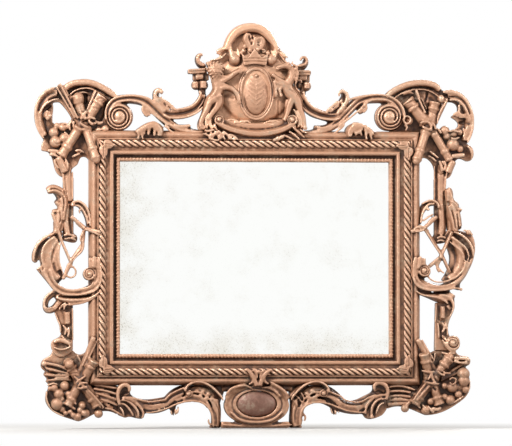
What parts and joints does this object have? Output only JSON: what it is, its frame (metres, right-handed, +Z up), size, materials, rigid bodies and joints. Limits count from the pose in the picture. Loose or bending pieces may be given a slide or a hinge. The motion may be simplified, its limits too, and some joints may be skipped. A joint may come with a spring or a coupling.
{
  "type": "carved giltwood wall mirror",
  "caption": "Landscape wall mirror in a pierced, carved and gilded frame with rope moulding, scrolls, corner trophies, an arched crest and an apron.",
  "frame": {"origin": "middle of the sight opening on the plane of the back, which lies against the wall", "axes": "+X to the right of someone facing the mirror, +Y into the wall, +Z up; the glass faces -Y"},
  "size_m": [0.99, 0.065, 0.9016],
  "materials": {
    "giltwood": "rubbed coppery gilding on carved wood",
    "gilt_boss": "darker rose gilding on carved wood",
    "pine": "old unfinished pine",
    "silvered_glass": "old silvering, foxed at its edges",
    "hanger_brass": "dull brass",
    "nail_iron": "rusted iron",
    "screw_steel": "dull steel"
  },
  "bodies": {
    "frame": {"apron_palmette": "giltwood", "apron_scroll_left": "giltwood", "apron_scroll_right": "giltwood", "backboard_lower": "pine", "backboard_middle": "pine", "backboard_nails": "nail_iron", "backboard_upper": "pine", "cartouche_boss": "gilt_boss", "cartouche_frame": "giltwood", "corner_bottom_left": "giltwood", "corner_bottom_right": "giltwood", "corner_top_left": "giltwood", "corner_top_right": "giltwood", "coronet": "giltwood", "crest_board": "giltwood", "crest_ribbon": "giltwood", "finial_left": "giltwood", "finial_right": "giltwood", "frame_dowels": "pine", "glazing_blocks": "pine", "hanger_screws": "screw_steel", "hanger_strap_left": "hanger_brass", "hanger_strap_right": "hanger_brass", "horse_supporter": "giltwood", "lion_supporter": "giltwood", "lower_post_left": "giltwood", "lower_post_right": "giltwood", "mirror_plate": "silvered_glass", "mitre_keys": "pine", "rail_bottom": "giltwood", "rail_top": "giltwood", "rope_bottom": "giltwood", "rope_left": "giltwood", "rope_right": "giltwood", "rope_top": "giltwood", "shield_field": "giltwood", "shield_rim": "giltwood", "side_bow_left": "giltwood", "side_bow_right": "giltwood", "side_leaf_left": "giltwood", "side_leaf_right": "giltwood", "side_scroll_left": "giltwood", "side_scroll_right": "giltwood", "slip_bottom": "giltwood", "slip_left": "giltwood", "slip_right": "giltwood", "slip_top": "giltwood", "stile_left": "giltwood", "stile_right": "giltwood", "top_scroll_left": "giltwood", "top_scroll_right": "giltwood", "trophy_bottom_left": "giltwood", "trophy_bottom_right": "giltwood", "trophy_top_left": "giltwood", "trophy_top_right": "giltwood", "upper_post_left": "giltwood", "upper_post_right": "giltwood"},
    "ring_left": {"hanger_ring_left": "hanger_brass"},
    "ring_right": {"hanger_ring_right": "hanger_brass"}
  },
  "joints": [
    {"name": "ring_left_swing", "type": "hinge", "parent": "frame", "child": "ring_left", "pos_m": [-0.33475, 0.0041, 0.12], "axis": [1, 0, 0], "range_deg": [0, 180]},
    {"name": "ring_right_swing", "type": "hinge", "parent": "frame", "child": "ring_right", "pos_m": [0.33475, 0.0041, 0.12], "axis": [1, 0, 0], "range_deg": [0, 180]}
  ]
}
